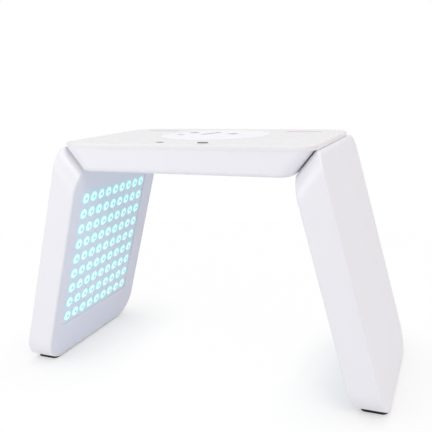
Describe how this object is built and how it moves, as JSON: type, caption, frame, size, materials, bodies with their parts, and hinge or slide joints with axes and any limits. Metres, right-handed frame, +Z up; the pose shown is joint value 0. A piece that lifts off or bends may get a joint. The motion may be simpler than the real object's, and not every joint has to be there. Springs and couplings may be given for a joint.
{
  "type": "led phototherapy cabin",
  "caption": "Folding LED phototherapy cabin: a flat head with a round touch control, and two hinged wings with LED lens fields that stand on the table.",
  "frame": {"origin": "on the floor under the middle of the head", "axes": "+Z up, +Y to the rear where the DC inlet is, +X to the right wing"},
  "size_m": [0.4844, 0.221, 0.3054],
  "materials": {
    "cover_shell": "satin moulded",
    "housing_shell": "satin moulded",
    "wing_shell": "satin moulded",
    "wing_panel": "satin moulded",
    "led_plate": "smooth",
    "led_lens": "clear, polished",
    "circuit_board": "white solder mask",
    "heat_spreader": "milled",
    "foot_rubber": "matte",
    "screw_steel": "bright",
    "bracket_metal": "die cast",
    "touch_disc": "smooth",
    "dark_trim": "smooth",
    "black_plastic": "moulded",
    "lead_jacket": "smooth"
  },
  "bodies": {
    "head": {"bracket_screws": "screw_steel", "button_switch": "black_plastic", "control_disc": "touch_disc", "cover_screws": "screw_steel", "dc_inlet": "black_plastic", "driver_board": "circuit_board", "driver_board_screws": "screw_steel", "front_board": "circuit_board", "front_board_screws": "screw_steel", "head_board_screws": "screw_steel", "head_heat_spreader": "heat_spreader", "head_housing": "housing_shell", "head_leads": "lead_jacket", "head_led_board": "circuit_board", "head_led_lenses": "led_lens", "head_led_plate": "led_plate", "ir_receiver": "black_plastic", "left_hinge_bracket": "bracket_metal", "left_hinge_pin": "screw_steel", "remote_window": "dark_trim", "right_hinge_bracket": "bracket_metal", "right_hinge_pin": "screw_steel", "top_cover": "cover_shell", "touch_board": "circuit_board"},
    "right_wing": {"right_board_screws": "screw_steel", "right_foot_strip": "foot_rubber", "right_heat_spreader": "heat_spreader", "right_hinge_washers": "screw_steel", "right_inner_panel": "wing_panel", "right_led_board": "circuit_board", "right_led_lenses": "led_lens", "right_led_plate": "led_plate", "right_outer_shell": "wing_shell", "right_panel_screws": "screw_steel", "right_wing_lead": "lead_jacket"},
    "left_wing": {"left_board_screws": "screw_steel", "left_foot_strip": "foot_rubber", "left_heat_spreader": "heat_spreader", "left_hinge_washers": "screw_steel", "left_inner_panel": "wing_panel", "left_led_board": "circuit_board", "left_led_lenses": "led_lens", "left_led_plate": "led_plate", "left_outer_shell": "wing_shell", "left_panel_screws": "screw_steel", "left_wing_lead": "lead_jacket"},
    "power_button": {"power_button": "dark_trim"}
  },
  "joints": [
    {"name": "right_wing_hinge", "type": "hinge", "parent": "head", "child": "right_wing", "pos_m": [0.15918, 0, 0.2927], "axis": [0, -1, 0], "range_deg": [-1, 75]},
    {"name": "left_wing_hinge", "type": "hinge", "parent": "head", "child": "left_wing", "pos_m": [-0.15918, 0, 0.2927], "axis": [0, 1, 0], "range_deg": [-1, 75]},
    {"name": "power_button_slide", "type": "slide", "parent": "head", "child": "power_button", "axis": [0, 0, -1], "range_m": [0, 0.001], "stiffness_N_per_m": 400, "springref_m": -0.0015}
  ]
}
